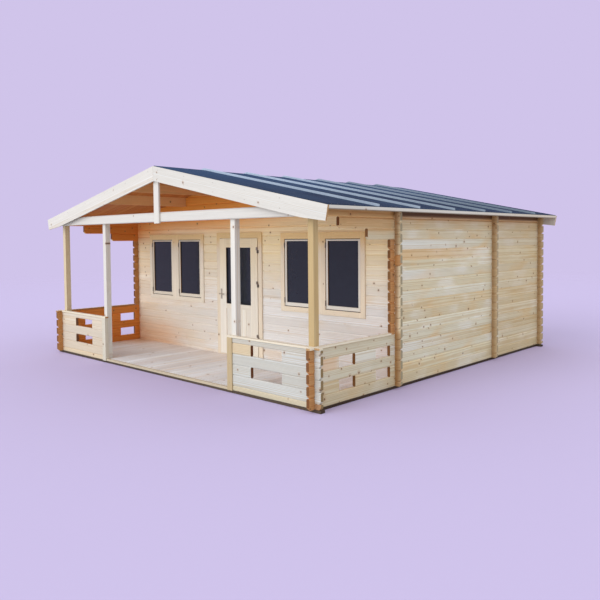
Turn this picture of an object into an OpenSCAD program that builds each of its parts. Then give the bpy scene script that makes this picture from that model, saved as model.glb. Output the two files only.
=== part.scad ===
// Log cabin with a railed front porch
// Squared logs cross in notched corners on a frame of bearers. Sizes are in millimetres.
// The front faces -Y, and the underside of the bearers is at Z = 0.

/* [Logs] */
// Height of one log course
log_h = 135; // [100:1:180]
// Thickness of a log
log_t = 44; // [34:1:70]
// Bevel on the long edges of a log
log_bevel = 10; // [1:0.5:14]
// Reach of the log ends past a crossing
tail_len = 90; // [50:1:150]
// Bevel under the free end of a log
tail_bevel = 34; // [8:1:45]
// Side play of a log in a corner notch
notch_play = 1; // [0.4:0.1:3]

/* [Plan] */
// Width between the centre lines of the side walls
cabin_w = 5910; // [5600:10:7000]
// Depth of the porch, from rail to front wall
porch_d = 1530; // [1450:10:2200]
// Depth of the front room between wall centre lines
front_room_d = 2622; // [1800:1:3600]
// Depth of the rear room between wall centre lines
rear_room_d = 1700; // [1200:1:2600]

/* [Courses] */
// Courses in the side rail of the porch
rail_courses = 5; // [5:1:7]
// First course of the front wall that the windows cut
sill_course = 7; // [7:1:8]
// Courses that the windows cut
window_courses = 8; // [8:1:9]
// Courses of a side wall from the first whole one over the windows
over_courses = 2; // [2:1:4]

/* [Base] */
// Height of the bearers
bearer_h = 30; // [20:1:120]
// Width of the bearers
bearer_w = 70; // [50:1:140]
// Number of joists between two walls
joists = 2; // [1:1:5]
// Thickness of the floor and deck boards
floor_t = 28; // [18:1:40]

/* [Porch] */
// Half width of the way in between the rails
entry_half = 1488; // [800:1:1500]
// Thickness of the rail caps
cap_t = 23; // [15:1:40]
// Overhang of caps and end stiles past the log face
cap_lip = 14; // [5:1:25]
// Thickness of the stile over the rail ends
stile_t = 22; // [15:1:35]
// Width of the stile seen from the front
stile_w = 92; // [60:1:120]
// Side of a square post
post_w = 82; // [70:1:120]
// Distance of the inner posts from the ends of the front rails
post_set = 72; // [50:1:200]
// Start of the front rail cut-out from the middle
front_cut_x = 1920; // [1700:10:2100]
// Length of the front rail cut-out
front_cut_len = 540; // [200:10:600]
// Start of the first side rail cut-out from the front rail
side_cut_y = 400; // [300:5:450]
// Length of a side rail cut-out
side_cut_len = 300; // [150:5:320]
// Distance between the two side rail cut-outs
side_cut_step = 705; // [600:5:750]
// Front end of the upper corbel log
corbel_upper_y = 420; // [250:5:600]
// Front end of the lower corbel log
corbel_lower_y = 955; // [700:5:1200]
// Width of the king post
king_w = 118; // [90:1:200]
// Thickness of the king post
king_t = 28; // [15:1:40]
// Drop of the king post below the tie beam
king_drop = 20; // [0:1:60]

/* [Roof] */
// Height of the boarded roof over the top of the side walls, at their centre lines
roof_seat = 35; // [0:1:60]
// Pitch of the roof in degrees
roof_pitch = 11.7; // [10:0.1:14]
// Reach of the eave edge past the centre line of a side wall
eave_reach = 285; // [195:5:500]
// Front reach of the roof boards past the rail centre
roof_front = 70; // [60:1:200]
// Gap between the rear log ends and the rear barge boards
roof_rear_gap = 2; // [1:1:200]
// Play between the log tops and the roof boards
roof_play = 0.3; // [0.2:0.1:2]
// Height of the blunt tips of the gable logs
gable_tip = 8; // [3:0.5:20]
// Thickness of the roof boards
roof_board_t = 19; // [16:1:28]
// Thickness of the roof covering
cover_t = 8; // [4:1:15]
// Width of a rib in the covering
rib_w = 40; // [20:1:80]
// Height of a rib in the covering
rib_h = 28; // [8:1:40]
// Distance between ribs
rib_step = 858; // [600:1:1000]
// First rib from the front rail
rib_first = 800; // [400:1:900]
// Number of ribs on each slope
ribs = 6; // [4:1:7]
// Width of a purlin
purlin_w = 58; // [44:1:100]
// Height of a purlin
purlin_h = 145; // [100:1:200]
// Distance between purlins
purlin_step = 725; // [600:5:800]
// Thickness of the barge boards
barge_t = 25; // [18:1:40]
// Upright height of the barge boards
barge_h = 207; // [150:1:260]
// Length of the square end of a barge board
barge_end = 174; // [120:1:200]
// Run of the tapered tip of a barge board
barge_taper = 420; // [200:10:700]
// Reach of the barge boards past the eave edge
barge_lip = 12; // [5:1:40]
// Half width of the seam at the peak of the barge boards
barge_seam = 1; // [0.5:0.5:4]
// Thickness of the eave boards
fascia_t = 20; // [15:1:30]
// Height of the eave boards
fascia_h = 45; // [30:1:120]

/* [Windows] */
// Middle of a window from the middle of the wall
window_x = 1720; // [1690:1:1760]
// Width of the window hole in the wall
window_w = 1500; // [1400:10:1520]
// Lap of the casing boards over the wall
casing_lap = 40; // [25:1:50]
// Thickness of the casing boards
casing_t = 20; // [12:1:30]
// Width of the frame around the sashes
window_frame_w = 33; // [15:1:40]
// Width of the mullion between the sashes
mullion_w = 182; // [100:1:200]
// Width of the upright sash members
sash_stile = 32; // [28:1:80]
// Width of the lower sash member
sash_sill = 50; // [40:1:100]
// Width of the upper sash member
sash_head = 20; // [18:1:80]
// Thickness of a sash
sash_t = 40; // [30:1:50]
// Shadow gap between sash and frame
sash_play = 10; // [2:0.5:11]
// Depth of the stop behind a sash
stop_w = 20; // [16:1:26]
// Thickness of the glass
pane_t = 8; // [4:1:20]
// Depth of the groove that holds the glass
pane_groove = 10; // [6:1:15]

/* [Door] */
// Place of the doorway along the front wall
door_x = -25; // [-100:1:100]
// Half width of the doorway in the wall
door_hole = 485; // [430:5:500]
// Lap of the door casing over the wall
door_lap = 53; // [25:1:60]
// Thickness of the door casing
door_casing_t = 22; // [15:1:30]
// Width of the jamb beside the leaf
jamb_w = 28; // [15:1:35]
// Width of the stop behind the leaf
door_stop = 22; // [12:1:30]
// Clear gap around the leaf
door_gap = 6; // [5:0.5:10]
// Height of the threshold in front of the stop
threshold_h = 40; // [30:1:60]
// Height of the clear opening under the frame head
door_head_z = 1926; // [1860:1:1935]
// Thickness of the door leaf
leaf_t = 40; // [36:1:50]
// Reach of the leaf past the face of the casing
leaf_proud = 8; // [4:1:15]
// Width of the upright leaf members
leaf_stile = 156; // [100:1:180]
// Underside of the door glass
glass_z0 = 867; // [810:1:1000]
// Top of the door glass
glass_z1 = 1775; // [1600:1:1800]
// Depth of the door glass below the face of the leaf
glass_set = 24; // [6:1:26]
// Underside of the lower door panel
panel_z0 = 200; // [150:1:260]
// Top of the lower door panel
panel_z1 = 790; // [700:1:798]
// Depth of the panel below the face of the leaf
panel_depth = 10; // [5:1:14]
// Heights of the hinges
hinge_zs = [330, 1160, 1690];
// Radius of a hinge knuckle
knuckle_r = 7; // [6:0.5:9]
// Radius of a hinge pin
pin_r = 4; // [3:0.25:5]
// Play of a hinge pin in its knuckle
pin_play = 0.4; // [0.3:0.05:0.8]
// Length of one hinge knuckle
knuckle_len = 45; // [30:1:70]
// Gap between the two knuckles of a hinge
knuckle_gap = 1; // [0.5:0.5:3]
// Thickness of the hinge plates
plate_t = 3; // [2:0.5:5]
// Width of the hinge plates
plate_w = 24; // [16:1:45]
// Height of the door handle
handle_z = 1020; // [950:1:1100]
// Distance of the handle from the edge of the leaf
handle_inset = 36; // [30:1:80]
// Width of the handle plate
handle_plate_w = 34; // [26:1:50]
// Height of the handle plate
handle_plate_h = 165; // [120:1:260]
// Thickness of the handle plate
handle_plate_t = 6; // [3:1:10]
// Radius of the handle spindle
spindle_r = 9; // [7:0.5:11]
// Play of the spindle in the leaf
spindle_play = 0.5; // [0.3:0.1:2]
// Reach of the lever from the leaf
lever_reach = 52; // [40:1:70]
// Length of the lever
lever_len = 105; // [90:1:140]

/* [Inside] */
// Half width of the doorway in the partition
inner_door = 400; // [350:10:500]

/* [Hidden] */
$fn = 48;
eps = 1;
half_t = log_t / 2;
half_h = log_h / 2;
quarter_h = log_h / 4;
side_x = cabin_w / 2;
front_y = porch_d;
mid_y = front_y + front_room_d;
rear_y = mid_y + rear_room_d;
reach_x = side_x + half_t + tail_len;
cross_tails = [-reach_x, reach_x];
reach_front = -half_t - tail_len;
reach_rear = rear_y + half_t + tail_len;
wall_front_y = front_y - half_t - tail_len;
inner_x = side_x - half_t;
outer_x = side_x + half_t;
bearer_inset = (bearer_w - log_t) / 2;
inner_post_x = entry_half + post_set;
head_course = sill_course + window_courses;
wall_courses = head_course + over_courses;
rail_z = rail_courses * log_h;
tie_z = (wall_courses - 1) * log_h;
tie_top = wall_courses * log_h;
slope = tan(roof_pitch);
eave_x = side_x + eave_reach;
// Height of the boarded ridge over the underside of the logs, to a whole millimetre
ridge_z = round(tie_top + roof_seat + slope * side_x);
board_rise = roof_board_t / cos(roof_pitch);
roof_y0 = -roof_front;
roof_y1 = reach_rear + roof_rear_gap;
deck_x = eave_x - fascia_t;
barge_x = eave_x + barge_lip;
gable_top = floor((ridge_z - board_rise) / log_h - 0.5);
centre_y = (reach_front + roof_y1 + barge_t) / 2;
purlin_xs = [-2 * purlin_step, -purlin_step, 0, purlin_step, 2 * purlin_step];
window_z0 = half_h + (sill_course - 1) * log_h;
head_z = half_h + (head_course - 1) * log_h;
window_x0 = window_x - window_w / 2;
window_x1 = window_x + window_w / 2;
face_y = front_y - half_t;
back_y = front_y + half_t;
sash_w = (window_w - mullion_w) / 2 - window_frame_w;
sash_y0 = face_y - casing_t / 2;
jamb_x = door_hole - jamb_w;
leaf_x = jamb_x - door_gap;
leaf_z0 = threshold_h + door_gap;
leaf_z1 = door_head_z - door_gap;
casing_face = face_y - door_casing_t;
leaf_y0 = casing_face - leaf_proud;
leaf_y1 = leaf_y0 + leaf_t;
door_stop_y = leaf_y1 + door_gap;
hinge_x = jamb_x - door_gap / 2;
hinge_y = leaf_y0 - knuckle_r;
glass_x = leaf_x - leaf_stile;

// Heights of the roof planes
function board_top(x) = ridge_z - slope * abs(x);
function board_under(x) = board_top(x) - board_rise;

// Lower and upper face of a course that starts with a half log
function cross_z0(j) = max(0, (j - 0.5) * log_h);
function cross_z1(j) = (j + 0.5) * log_h;

// The two parities of a run of courses
function parity(first, last, odd) = [for (i = [first:last]) if ((i % 2 == 1) == odd) i];

// Ends left by holes in a course from a to b
function spans(a, b, holes) = len(holes) == 0 ? [[a, b]] :
    [for (i = [0:len(holes)])
        [i == 0 ? a : holes[i - 1][1], i == len(holes) ? b : holes[i][0]]];

// Both halves of a symmetric list of holes, left to right
function mirrored(h) = [[-h[1], -h[0]], [h[0], h[1]]];

door_gaps = [[door_x - door_hole, door_x + door_hole]];
window_gap = [window_x0, window_x1];
front_gaps = [mirrored(window_gap)[0], door_gaps[0], mirrored(window_gap)[1]];
inner_gaps = [[-inner_door, inner_door]];
side_gaps = [for (i = [0, side_cut_step]) [side_cut_y + i, side_cut_y + i + side_cut_len]];

// Holes of a course of the front wall and of the partition
function front_holes(j) = j >= head_course ? [] : j >= sill_course ? front_gaps : door_gaps;
function inner_holes(j) = j >= head_course ? [] : inner_gaps;

// Half length of a gable course that leaves a blunt tip under the roof
function gable_half(j) = min(reach_x, (board_under(0) - cross_z0(j) - gable_tip) / slope);

// Front end of a side log
function side_start(k) = k < rail_courses ? reach_front :
    k == wall_courses - 1 ? half_t :
    k == wall_courses - 2 ? corbel_upper_y :
    k == wall_courses - 3 ? corbel_lower_y : wall_front_y;

// Free ends of a side log; the top one starts on the tie beam
function side_tails(k) = k == wall_courses - 1 ? [reach_rear] : [side_start(k), reach_rear];

// Place from the log base to the shared frame
module placed() {
    translate([0, -centre_y, bearer_h]) children();
}

// A squared log along X with bevelled long edges
module log_bar(a, b, z0, z1) {
    translate([a, 0, 0]) rotate([90, 0, 90]) linear_extrude(b - a) polygon([
        [-half_t + log_bevel, z0], [half_t - log_bevel, z0],
        [half_t, z0 + log_bevel], [half_t, z1 - log_bevel],
        [half_t - log_bevel, z1], [-half_t + log_bevel, z1],
        [-half_t, z1 - log_bevel], [-half_t, z0 + log_bevel]]);
}

// A log with notches that leave only its core where other logs cross it, bevelled under its free ends
module notched_log(a, b, z0, z1, core0, core1, crossings, tails) {
    notch_w = log_t + 2 * notch_play;
    difference() {
        log_bar(a, b, z0, z1);
        for (c = crossings) {
            if (core0 > z0)
                translate([c - notch_w / 2, -log_t, z0 - eps])
                    cube([notch_w, 2 * log_t, core0 - z0 + eps]);
            if (core1 < z1)
                translate([c - notch_w / 2, -log_t, core1])
                    cube([notch_w, 2 * log_t, z1 - core1 + eps]);
        }
        for (x = tails)
            if (x == a || x == b)
                translate([x, log_t, z0]) rotate([90, 0, 0]) linear_extrude(2 * log_t)
                    polygon([[tail_bevel, 0], [0, tail_bevel], [-tail_bevel, 0], [0, -tail_bevel]]);
    }
}

// Everything below the roof boards
module under_roof() {
    translate([0, rear_y + 2 * tail_len, 0]) rotate([90, 0, 0]) linear_extrude(rear_y + 4 * tail_len)
        polygon([[-eave_x, 0], [eave_x, 0], [eave_x, board_under(eave_x) - roof_play],
            [0, board_under(0) - roof_play], [-eave_x, board_under(eave_x) - roof_play]]);
}

// One course of a side wall
module side_course(x, k, rise) {
    z0 = k * log_h;
    crossings = concat(k < rail_courses ? [0] : [], [front_y, mid_y, rear_y]);
    holes = k < rail_courses && k % 2 == 1 ? side_gaps : [];
    translate([x, 0, 0]) rotate([0, 0, 90])
        for (s = spans(side_start(k), reach_rear, holes))
            notched_log(s[0], s[1], z0, z0 + rise, z0 + quarter_h, z0 + log_h - quarter_h,
                crossings, side_tails(k));
}

// Courses of a side wall, the top one cut to the roof
module side_logs(x, odd) {
    top = wall_courses - 1;
    for (k = parity(0, top - 1, odd)) side_course(x, k, log_h);
    for (k = parity(top, top, odd)) intersection() {
        side_course(x, k, 2 * log_h);
        under_roof();
    }
}

// One course of a cross wall at y, out to half on both sides
module cross_course(y, j, half, top, holes, tails) {
    translate([0, y, 0])
        for (s = spans(-half, half, holes))
            notched_log(s[0], s[1], cross_z0(j), top, j * log_h - quarter_h, j * log_h + quarter_h,
                [-side_x, side_x], tails);
}

// Gable courses, cut to the roof and around the purlins
module gable_logs(y, odd) {
    for (j = parity(wall_courses, gable_top, odd))
        difference() {
            intersection() {
                cross_course(y, j, gable_half(j), j == gable_top ? ridge_z : cross_z1(j), [], []);
                under_roof();
            }
            for (x = purlin_xs) purlin(x, notch_play, log_h);
        }
}
module front_logs(odd) {
    for (j = parity(0, wall_courses - 1, odd))
        cross_course(front_y, j, reach_x, cross_z1(j), front_holes(j), cross_tails);
    gable_logs(front_y, odd);
}
module partition_logs(odd) {
    for (j = parity(0, wall_courses - 1, odd))
        cross_course(mid_y, j, reach_x, cross_z1(j), inner_holes(j), cross_tails);
    gable_logs(mid_y, odd);
}
module rear_logs(odd) {
    for (j = parity(0, wall_courses - 1, odd))
        cross_course(rear_y, j, reach_x, cross_z1(j), [], cross_tails);
    gable_logs(rear_y, odd);
}

// Courses of the two front rails
module rail_logs(odd) {
    cut = [[front_cut_x, front_cut_x + front_cut_len]];
    for (side = [0, 1], j = parity(0, rail_courses, odd)) {
        holes = j > 0 && j < rail_courses && j % 2 == 0 ? cut : [];
        mirror([side, 0, 0])
            for (s = spans(entry_half + stile_t, reach_x, holes))
                notched_log(s[0], s[1], cross_z0(j), min(cross_z1(j), rail_z),
                    j * log_h - quarter_h, j * log_h + quarter_h, [side_x], [reach_x]);
    }
}

// Base
module cross_bar(y, half) {
    translate([-half, y - bearer_w / 2, -bearer_h]) cube([2 * half, bearer_w, bearer_h]);
}
module end_bearers() {
    color("#4a4036") placed() for (y = [bearer_inset, rear_y - bearer_inset]) cross_bar(y, reach_x);
}
module side_bearers() {
    y0 = bearer_inset + bearer_w / 2;
    color("#4a4036") placed() for (side = [0, 1]) mirror([side, 0, 0])
        translate([outer_x - bearer_w, y0, -bearer_h]) cube([bearer_w, rear_y - 2 * y0, bearer_h]);
}
module cross_bearers() {
    rooms = [[0, front_y], [front_y, mid_y], [mid_y, rear_y]];
    color("#4a4036") placed() {
        for (y = [front_y, mid_y]) cross_bar(y, outer_x - bearer_w);
        for (r = rooms, i = [1:joists])
            cross_bar(r[0] + (r[1] - r[0]) * i / (joists + 1), outer_x - bearer_w);
    }
}
module cabin_floor() {
    color("#d8b98a") placed() {
        translate([-inner_x, back_y, 0]) cube([2 * inner_x, front_room_d - log_t, floor_t]);
        translate([-inner_x, mid_y + half_t, 0]) cube([2 * inner_x, rear_room_d - log_t, floor_t]);
        translate([-inner_door, mid_y - log_t, 0]) cube([2 * inner_door, 2 * log_t, floor_t]);
    }
}
module porch_deck() {
    color("#d3c0ac") placed()
        translate([-inner_x, half_t, 0]) cube([2 * inner_x, front_y - log_t, floor_t]);
}
module porch_sill() {
    color("#dcc49c") placed()
        translate([-entry_half, -half_t, 0]) cube([2 * entry_half, log_t, floor_t]);
}

// Log walls
module left_logs_odd() { color("#e2c79c") placed() side_logs(-side_x, true); }
module left_logs_even() { color("#e8d2ac") placed() side_logs(-side_x, false); }
module right_logs_odd() { color("#e2c79c") placed() side_logs(side_x, true); }
module right_logs_even() { color("#e8d2ac") placed() side_logs(side_x, false); }
module front_logs_odd() { color("#e6cfa6") placed() front_logs(true); }
module front_logs_even() { color("#ecd9b6") placed() front_logs(false); }
module partition_logs_odd() { color("#e2c79c") placed() partition_logs(true); }
module partition_logs_even() { color("#e8d2ac") placed() partition_logs(false); }
module rear_logs_odd() { color("#e2c79c") placed() rear_logs(true); }
module rear_logs_even() { color("#e8d2ac") placed() rear_logs(false); }

// Porch
module rail_logs_odd() { color("#ece0c8") placed() rail_logs(true); }
module rail_logs_even() { color("#f0e6d2") placed() rail_logs(false); }
module rail_caps() {
    color("#f2ead8") placed() for (side = [0, 1]) mirror([side, 0, 0]) {
        translate([entry_half - cap_lip / 2, -half_t - cap_lip, rail_z])
            cube([reach_x - entry_half + cap_lip / 2, log_t + cap_lip, cap_t]);
        translate([inner_x, reach_front, rail_z])
            cube([log_t + cap_lip, wall_front_y - reach_front, cap_t]);
    }
}
module rail_stiles() {
    color("#e3cf9f") placed() for (side = [0, 1]) mirror([side, 0, 0])
        linear_extrude(rail_z) polygon([
            [entry_half, -half_t - cap_lip], [entry_half + stile_w, -half_t - cap_lip],
            [entry_half + stile_w, -half_t], [entry_half + stile_t, -half_t],
            [entry_half + stile_t, half_t], [entry_half, half_t]]);
}
module porch_posts() {
    corner_x = inner_x - post_w / 2;
    color("#f3ecdd") placed() for (x = [-corner_x, -inner_post_x, inner_post_x, corner_x])
        translate([x - post_w / 2, half_t, floor_t]) cube([post_w, post_w, tie_top - floor_t]);
}
module tie_beam() {
    color("#f3ecdd") placed() log_bar(-outer_x, outer_x, tie_z, tie_top);
}
module king_post() {
    z0 = tie_z - king_drop;
    color("#f3ecdd") placed() translate([-king_w / 2, -half_t - king_t, z0])
        cube([king_w, king_t, board_under(0) - purlin_h - z0]);
}

// Roof
module along_roof() {
    translate([0, roof_y1, 0]) rotate([90, 0, 0]) linear_extrude(roof_y1 - roof_y0) children();
}
module purlin(x, play, rise) {
    x0 = x - purlin_w / 2 - play;
    x1 = x + purlin_w / 2 + play;
    foot = board_under(x) - purlin_h;
    peak = x == 0 ? [[0, board_under(0) + rise]] : [];
    along_roof() polygon(concat([[x0, foot], [x1, foot], [x1, board_under(x1) + rise]], peak,
        [[x0, board_under(x0) + rise]]));
}
module ridge_purlin() {
    color("#c9935a") placed() purlin(0, 0, 0);
}
module side_purlins() {
    color("#c9935a") placed() for (x = purlin_xs) if (x != 0) purlin(x, 0, 0);
}
module roof_boards() {
    along_roof() polygon([[0, board_under(0)], [deck_x, board_under(deck_x)],
        [deck_x, board_top(deck_x)], [0, board_top(0)]]);
}
module left_roof_boards() { color("#c98d52") placed() mirror([1, 0, 0]) roof_boards(); }
module right_roof_boards() { color("#c98d52") placed() roof_boards(); }
module slope_strip(rise0, rise1) {
    polygon([[0, board_top(0) + rise0], [eave_x, board_top(eave_x) + rise0],
        [eave_x, board_top(eave_x) + rise1], [0, board_top(0) + rise1]]);
}
module covering() {
    along_roof() slope_strip(0, cover_t);
}
module slope_ribs() {
    for (i = [0:ribs - 1]) translate([0, rib_first + i * rib_step + rib_w, 0])
        rotate([90, 0, 0]) linear_extrude(rib_w) slope_strip(cover_t, cover_t + rib_h);
}
module left_covering() { color("#2d4059") placed() mirror([1, 0, 0]) covering(); }
module right_covering() { color("#2d4059") placed() covering(); }
module left_ribs() { color("#5d7290") placed() mirror([1, 0, 0]) slope_ribs(); }
module right_ribs() { color("#5d7290") placed() slope_ribs(); }
module barge_board() {
    end_z = board_top(barge_x);
    taper_x = barge_x - barge_taper;
    rotate([90, 0, 0]) linear_extrude(barge_t) polygon([
        [barge_seam, board_top(barge_seam)], [barge_x, end_z],
        [barge_x - barge_end * sin(roof_pitch), end_z - barge_end * cos(roof_pitch)],
        [taper_x, board_top(taper_x) - barge_h], [barge_seam, board_top(barge_seam) - barge_h]]);
}
module barge_pair(y) {
    for (side = [0, 1]) mirror([side, 0, 0]) translate([0, y, 0]) barge_board();
}
module front_barge_boards() { color("#f5f1e6") placed() barge_pair(roof_y0); }
module rear_barge_boards() { color("#f5f1e6") placed() barge_pair(roof_y1 + barge_t); }
module eave_boards() {
    foot = board_top(eave_x) - fascia_h;
    color("#efe8da") placed() for (side = [0, 1]) mirror([side, 0, 0]) along_roof()
        polygon([[deck_x, foot], [eave_x, foot],
            [eave_x, board_top(eave_x)], [deck_x, board_top(deck_x)]]);
}

// Windows
module both_windows() {
    for (x = [-window_x, window_x]) translate([x, 0, 0]) children();
}
module each_sash() {
    for (side = [-1, 1]) translate([side * (mullion_w + sash_w) / 2, 0, 0]) children();
}
module box(w, y0, y1, z0, z1) {
    translate([-w / 2, y0, z0]) cube([w, y1 - y0, z1 - z0]);
}
module window_frames() {
    sash_z0 = window_z0 + window_frame_w;
    sash_z1 = head_z - window_frame_w - casing_lap / 2;
    color("#e9d6ae") placed() both_windows() difference() {
        union() {
            box(window_w + 2 * casing_lap, face_y - casing_t, face_y,
                window_z0 - casing_lap, head_z + casing_lap);
            box(window_w - 2 * notch_play, face_y - casing_t, back_y, window_z0, head_z);
        }
        each_sash() {
            box(sash_w, face_y - 2 * casing_t, sash_y0 + sash_t, sash_z0, sash_z1);
            box(sash_w - 2 * stop_w, face_y, back_y + eps, sash_z0 + stop_w, sash_z1 - stop_w);
        }
    }
}
module sash_void(w, y0, y1, grow) {
    box(w - 2 * sash_stile + 2 * grow, y0, y1,
        window_z0 + window_frame_w + sash_play + sash_sill - grow,
        head_z - window_frame_w - casing_lap / 2 - sash_play - sash_head + grow);
}
module pane_slot() {
    mid = sash_y0 + sash_t / 2;
    sash_void(sash_w - 2 * sash_play, mid - pane_t / 2, mid + pane_t / 2, pane_groove);
}
module window_sashes() {
    color("#eddcb8") placed() both_windows() each_sash() difference() {
        box(sash_w - 2 * sash_play, sash_y0, sash_y0 + sash_t, window_z0 + window_frame_w + sash_play,
            head_z - window_frame_w - casing_lap / 2 - sash_play);
        sash_void(sash_w - 2 * sash_play, sash_y0 - eps, sash_y0 + sash_t + eps, 0);
        pane_slot();
    }
}
module window_panes() {
    color("#34363f", 0.6) placed() both_windows() each_sash() pane_slot();
}

// Door
module at_door() {
    translate([door_x, 0, 0]) children();
}
module door_frame() {
    stop_x = jamb_x - door_stop;
    color("#e8d3a8") placed() at_door() difference() {
        union() {
            box(2 * (door_hole + door_lap), casing_face, face_y, floor_t, head_z + door_lap);
            box(2 * (door_hole - notch_play), face_y, back_y, 0, head_z);
        }
        box(2 * jamb_x, casing_face - eps, door_stop_y, threshold_h, door_head_z);
        box(2 * stop_x, door_stop_y - eps, back_y + eps,
            threshold_h + door_stop, door_head_z - door_stop);
    }
}
module leaf_void(y0, y1, z0, z1, grow) {
    box(2 * (glass_x + grow), y0, y1, z0 - grow, z1 + grow);
}
module leaf_slot() {
    pane_y = leaf_y0 + glass_set;
    leaf_void(pane_y, pane_y + pane_t, glass_z0, glass_z1, pane_groove);
}
module at_spindle() {
    translate([-leaf_x + handle_inset, 0, handle_z]) children();
}
module door_leaf() {
    color("#efe0bf") placed() at_door() difference() {
        box(2 * leaf_x, leaf_y0, leaf_y1, leaf_z0, leaf_z1);
        leaf_void(leaf_y0 - eps, leaf_y1 + eps, glass_z0, glass_z1, 0);
        leaf_slot();
        leaf_void(leaf_y0 - eps, leaf_y0 + panel_depth, panel_z0, panel_z1, 0);
        leaf_void(leaf_y1 - panel_depth, leaf_y1 + eps, panel_z0, panel_z1, 0);
        at_spindle() translate([0, leaf_y1 + eps, 0]) rotate([90, 0, 0])
            cylinder(r = spindle_r + spindle_play, h = leaf_t + 2 * eps);
    }
}
module door_pane() {
    color("#34363f", 0.6) placed() at_door() leaf_slot();
}
module door_handle() {
    lever_r = spindle_r - 1;
    color("#4c4c4e") placed() at_door() at_spindle() {
        translate([0, leaf_y1 + lever_reach, 0]) rotate([90, 0, 0])
            cylinder(r = spindle_r, h = leaf_t + 2 * lever_reach);
        for (y = [leaf_y0 - handle_plate_t, leaf_y1])
            box(handle_plate_w, y, y + handle_plate_t, -handle_plate_h / 2, handle_plate_h / 2);
        for (y = [leaf_y0 - lever_reach + lever_r, leaf_y1 + lever_reach - lever_r])
            translate([0, y, 0]) rotate([0, 90, 0]) cylinder(r = lever_r, h = lever_len);
    }
}
module at_hinges() {
    for (z = hinge_zs) translate([hinge_x, hinge_y, z]) children();
}
module frame_hinges() {
    color("#5a5a5c") placed() at_door() at_hinges() {
        cylinder(r = knuckle_r, h = knuckle_len);
        cylinder(r = pin_r, h = 2 * knuckle_len);
        cube([knuckle_r, casing_face - hinge_y, knuckle_len]);
        translate([0, casing_face - plate_t - hinge_y, 0]) cube([plate_w, plate_t, knuckle_len]);
    }
}
module leaf_hinges() {
    color("#5a5a5c") placed() at_door() at_hinges() translate([0, 0, knuckle_len + knuckle_gap])
        difference() {
            union() {
                cylinder(r = knuckle_r, h = knuckle_len);
                translate([-plate_w - knuckle_r, knuckle_r - plate_t, 0])
                    cube([plate_w + knuckle_r, plate_t, knuckle_len]);
            }
            translate([0, 0, -eps]) cylinder(r = pin_r + pin_play, h = knuckle_len + 2 * eps);
        }
}

end_bearers();
side_bearers();
cross_bearers();
cabin_floor();
porch_deck();
porch_sill();
left_logs_odd();
left_logs_even();
right_logs_odd();
right_logs_even();
front_logs_odd();
front_logs_even();
partition_logs_odd();
partition_logs_even();
rear_logs_odd();
rear_logs_even();
rail_logs_odd();
rail_logs_even();
rail_caps();
rail_stiles();
porch_posts();
tie_beam();
king_post();
ridge_purlin();
side_purlins();
left_roof_boards();
right_roof_boards();
left_covering();
right_covering();
left_ribs();
right_ribs();
front_barge_boards();
rear_barge_boards();
eave_boards();
window_frames();
window_sashes();
window_panes();
door_frame();
frame_hinges();
door_leaf();
door_pane();
door_handle();
leaf_hinges();
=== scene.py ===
import math

import bpy
from mathutils import Matrix, Vector


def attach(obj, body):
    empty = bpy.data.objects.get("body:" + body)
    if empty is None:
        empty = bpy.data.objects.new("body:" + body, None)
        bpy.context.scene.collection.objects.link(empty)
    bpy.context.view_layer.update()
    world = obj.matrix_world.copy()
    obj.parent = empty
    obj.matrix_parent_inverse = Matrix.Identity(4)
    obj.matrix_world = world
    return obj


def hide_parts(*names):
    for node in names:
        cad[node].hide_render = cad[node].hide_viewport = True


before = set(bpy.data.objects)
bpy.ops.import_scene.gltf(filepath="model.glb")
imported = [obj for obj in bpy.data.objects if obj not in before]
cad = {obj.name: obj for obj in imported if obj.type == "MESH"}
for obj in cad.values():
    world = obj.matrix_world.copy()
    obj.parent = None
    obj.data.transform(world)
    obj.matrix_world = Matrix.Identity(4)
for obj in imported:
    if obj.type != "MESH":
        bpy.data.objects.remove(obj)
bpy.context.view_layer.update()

# Places shared with the part, in metres. X is counted from the middle, Y from the centre line of the
# front rail and Z from the underside of the logs. spot() puts them into the frame.
RAIL_Y = -2.9395
LOG_Z = 0.030
COURSE = 0.135
HALF_LOG = 0.022
SIDE_X = 2.955
INNER_X = 2.933
FRONT_Y, PARTITION_Y, REAR_Y = 1.530, 4.152, 5.852
RAIL_TOP = 0.675
FLOOR_T = 0.028
PITCH = math.radians(11.7)
SLOPE = math.tan(PITCH)
RIDGE_Z = 2.942
BOARD_RISE = 0.019 / math.cos(PITCH)
BOARD_END_X = 3.220
ROOF_Y0, ROOF_Y1 = -0.070, 5.966
BARGE_T = 0.025
PURLIN_PITCH = 0.725
WINDOW_X = 1.720
SILL_Z, HEAD_Z = 0.8775, 1.9575
SASH_MID, SASH_VOID, SASH_HOLE = 0.404, 0.271, 0.313
SASH_MIDDLES = [window + sash for window in (-WINDOW_X, WINDOW_X) for sash in (-SASH_MID, SASH_MID)]
DOOR_X = -0.025
DOORWAY_X = 0.400
LEAF_Y0, LEAF_Y1 = 1.478, 1.518
GLASS_X, GLASS_Z0, GLASS_Z1 = 0.295, 0.867, 1.775
PANEL_Z0, PANEL_Z1 = 0.200, 0.790

# The courses of the cross logs are half a log off those of the side logs. Their tails start at TAIL_X.
CROSS_Z = LOG_Z - COURSE / 2
TAIL_X, PAST_TAILS = SIDE_X + HALF_LOG, 3.3
CORBEL_Z = 14 * COURSE
SIDE_CUT_YS = 0.55, 1.255
FRONT_CUT_X = 2.19

# Boards
SEAM = 0.0012
PLANKS, ROOF_PLANKS, DOORWAY_PLANKS, PANEL_PLANKS = 48, 53, 7, 5
PLANK = INNER_X / 24
PANEL_PLANK = GLASS_X / 2.5
PLANK_GROOVE, ROOF_GROOVE = 0.003, 0.004

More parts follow.
